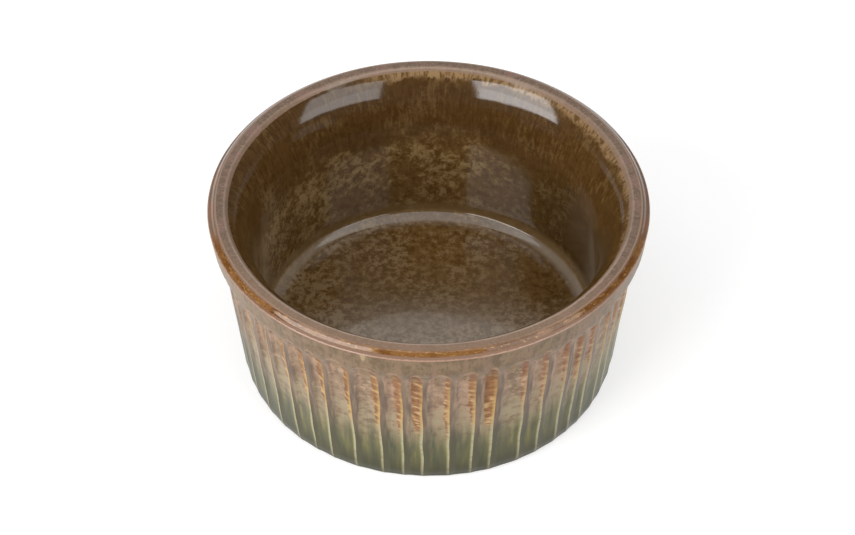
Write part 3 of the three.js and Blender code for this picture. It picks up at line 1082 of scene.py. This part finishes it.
def with_bevel(tree, p, glaze, lining):
    across = add(tree, "Math", p.side, add(tree, "Math", p.cloud, 16.0, **TIMES), **PLUS)
    not_in_front = add(tree, "MapRange", p.depth, -20.0, -8.0)
    beige = layer(tree, colour("563e1f"), colour("83694a"), p.spokes, 0.38, 0.58)
    beige = layer(tree, lining, beige, across, -14.0, 2.0, not_in_front)
    glaze = layer(tree, glaze, beige, p.ragged, BEIGE_START - 0.1, BEIGE_START + 0.1)
    very_ragged = add(tree, "Math", p.run, add(tree, "Math", p.uneven, 4.0, **TIMES), **PLUS)
    very_ragged = add(tree, "Math", very_ragged, add(tree, "Math", p.cloud, 5.0, **TIMES), **PLUS)
    narrowing = add(tree, "MapRange", p.depth, 25.0, -10.0, 2.1, 1.1)
    very_ragged = add(tree, "Math", very_ragged, narrowing, **MINUS)
    return layer(tree, glaze, lining, very_ragged, BEIGE_END - 0.5, BEIGE_END + 0.5)


lip_finish, tree = new_finish("amber_and_mauve_lip_glaze")
p = lip_patterns(tree)
flat = flat_colour(tree, p)
lip_colour = layer(tree, slant_colour(tree, p), flat, p.ragged, SLANT_END - 0.1, SLANT_END + 0.1)
lip_colour = with_pale_lines(tree, p, lip_colour)
lip_colour = with_bevel(tree, p, lip_colour, lining_colour(tree, p.run)[0])
lip_bump = add(tree, "Bump", named={"Height": p.cloud, "Strength": 0.08, "Distance": 0.0003})
lip_look = {"Base Color": lip_colour, "Roughness": 0.09, "IOR": LIP_IOR, "Normal": lip_bump}
close_finish(lip_finish, lip_look)

# %% [markdown]
# Under the dish the recess has a thin brown wash of glaze, cloudy and spotted, that was sponged on.

# %% Recess glaze
base_finish, tree = new_finish("thin_brown_recess_glaze")
place = add(tree, "TexCoord", out="Object")
cloud = add(tree, "TexNoise", named={"Vector": place, "Scale": per_mm(4), "Detail": 4.0})
spots = add(tree, "TexNoise", named={"Vector": place, "Scale": per_mm(0.9), "Detail": 2.0})
brown = layer(tree, colour("5d4930"), colour("7d6749"), cloud, 0.35, 0.65)
brown = layer(tree, brown, colour("45331d"), spots, 0.62, 0.72)
base_bump = add(tree, "Bump", named={"Height": cloud, "Strength": 0.15, "Distance": 0.0003})
base_look = {"Base Color": brown, "Roughness": 0.3, "Normal": base_bump}
close_finish(base_finish, base_look)

# %% [markdown]
# Each piece takes its finish, rides on the one body of the dish and stands for the solid it dresses.

# %% Dressing the solids
dressing = [
    (body, clay_finish, "stoneware_body", "stoneware"),
    (bowl, bowl_finish, "liner_glaze", "liner_glaze"),
    (lip, lip_finish, "rim_glaze", "rim_glaze"),
    (collar_and_flutes, brown_finish, "wall_glaze_brown", "wall_glaze_brown"),
    (lower_flutes, green_finish, "wall_glaze_green", "wall_glaze_green"),
    (base_coat, base_finish, "base_glaze", "base_glaze"),
]
for piece, finish, solid, slot in dressing:
    piece.data.materials.append(finish)
    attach(piece, "root")
    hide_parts(solid)
    print(piece.name, "stands for", solid)

# %% [markdown]
# The studio is pale. Its floor keeps the shadow of the dish. It is white only to the camera and to
# reflections, so that it doesn't add more light to the dish than a plain studio would.

# %% Floor
FLOOR_REACH = 3.0
# The glow of the floor near the dish, and the distances between which it grows to white
NEAR_GLOW = 0.56
GLOW_GROWS = (0.4, 1.6)


def seen_directly(tree):
    """1 for rays from the camera, a reflection or a clear body, 0 for light that only bounces."""
    seen = add(tree, "LightPath", out="Is Camera Ray")
    seen = add(tree, "Math", seen, add(tree, "LightPath", out="Is Glossy Ray"), **PLUS)
    through = add(tree, "LightPath", out="Is Transmission Ray")
    return add(tree, "Math", seen, through, use_clamp=True, **PLUS)


floor_mesh = bpy.data.meshes.new("studio_floor")
floor_signs = [(-1, -1), (1, -1), (1, 1), (-1, 1)]
floor_corners = [(x * FLOOR_REACH, y * FLOOR_REACH, 0) for x, y in floor_signs]
floor_mesh.from_pydata(floor_corners, [], [(0, 1, 2, 3)])
studio_floor = bpy.data.objects.new("studio_floor", floor_mesh)
bpy.context.collection.objects.link(studio_floor)
floor_finish, tree = new_finish("white_studio_floor")
paint = add(tree, "BsdfDiffuse", colour("bdbdbd"))
far = add(tree, "VectorMath", add(tree, "TexCoord", out="Object"), out="Value", operation="LENGTH")
glow = add(tree, "MapRange", far, *GLOW_GROWS, NEAR_GLOW, 1.0)
glow = add(tree, "Emission", colour("ffffff"), glow)
both = add(tree, "AddShader", paint, glow)
add(tree, "OutputMaterial", add(tree, "MixShader", seen_directly(tree), paint, both))
floor_mesh.materials.append(floor_finish)
print("floor", 2 * FLOOR_REACH, "m across")

# %% [markdown]
# Two upright soft boxes stand in front, left and right of the camera, and a large soft light hangs
# overhead. The left box is the key light. The two boxes show as bright bars in the flared mouth at
# the back, each on the side away from its box.

# %% Lights
# The two upright edges of a box: degrees to the side of the camera, and metres from the dish
BOX_NEAR_EDGE = (27.5, 0.8)
BOX_FAR_EDGE = (75.5, 0.95)
BOX_LOW = 0.18
BOX_HIGH = 0.86
LEFT_BRIGHTNESS = 6.3
RIGHT_BRIGHTNESS = 2.9
OVERHEAD_PLACE = Vector((0, -0.2, 1.2))
OVERHEAD_FACING = Vector((0, 0.17, -1))
OVERHEAD_SIZE = (2.0, 0.8)
OVERHEAD_BRIGHTNESS = 1.9


def soft_box(name, middle, facing, width, height, brightness):
    """A rectangle of light whose front looks the facing way."""
    lamp = bpy.data.lights.new(name, "AREA")
    lamp.shape = "RECTANGLE"
    lamp.size = width
    lamp.size_y = height
    lamp.energy = brightness * math.pi * width * height
    holder = bpy.data.objects.new(name, lamp)
    bpy.context.collection.objects.link(holder)
    holder.location = middle
    holder.rotation_euler = (-facing).to_track_quat("Z", "Y").to_euler()
    holder.visible_camera = False
    print(name, round(lamp.energy, 1), "W")


def upright_box(name, side, brightness):
    """A soft box standing beside the camera, on the left for side -1 and the right for 1."""
    edges = []
    for degrees, distance in (BOX_NEAR_EDGE, BOX_FAR_EDGE):
        turn = math.radians(degrees)
        edges.append(Vector((side * math.sin(turn), -math.cos(turn), 0)) * distance)
    across = edges[1] - edges[0]
    middle = (edges[0] + edges[1]) / 2 + Vector((0, 0, (BOX_LOW + BOX_HIGH) / 2))
    facing = side * Vector((0, 0, 1)).cross(across)
    soft_box(name, middle, facing, across.length, BOX_HIGH - BOX_LOW, brightness)


upright_box("left_soft_box", -1, LEFT_BRIGHTNESS)
upright_box("right_soft_box", 1, RIGHT_BRIGHTNESS)
soft_box("overhead_soft_box", OVERHEAD_PLACE, OVERHEAD_FACING, *OVERHEAD_SIZE, OVERHEAD_BRIGHTNESS)

# %% [markdown]
# The room, too, is white only to the camera and to reflections. In reflections only the wall behind
# the dish is white, and the ceiling and the camera's side are dim.

# %% World
ROOM_LIGHT = 0.22
DIM_ROOM = 0.1
# The way to the wall behind the dish, and how nearly a reflection has to look that way
TO_BACK_WALL = (0, 0.8, 0.6)
WALL_EDGE = (0.76, 0.97)
world = bpy.data.worlds.new("white_studio")
bpy.context.scene.world = world
world.use_nodes = True
tree = world.node_tree
tree.nodes.clear()
to_back = add(tree, "TexCoord", out="Generated")
to_back = add(tree, "VectorMath", to_back, TO_BACK_WALL, out="Value", operation="DOT_PRODUCT")
dim_side = add(tree, "MapRange", add(tree, "LightPath", out="Is Camera Ray"), 0.0, 1.0, DIM_ROOM, 1.0)
seen_room = add(tree, "MapRange", to_back, *WALL_EDGE, dim_side, 1.0, **SOFT)
strength = add(tree, "MapRange", seen_directly(tree), 0.0, 1.0, ROOM_LIGHT, seen_room)
add(tree, "OutputWorld", add(tree, "Background", colour("ffffff"), strength))
bpy.context.scene.view_settings.view_transform = "Standard"
print("world", world.name)
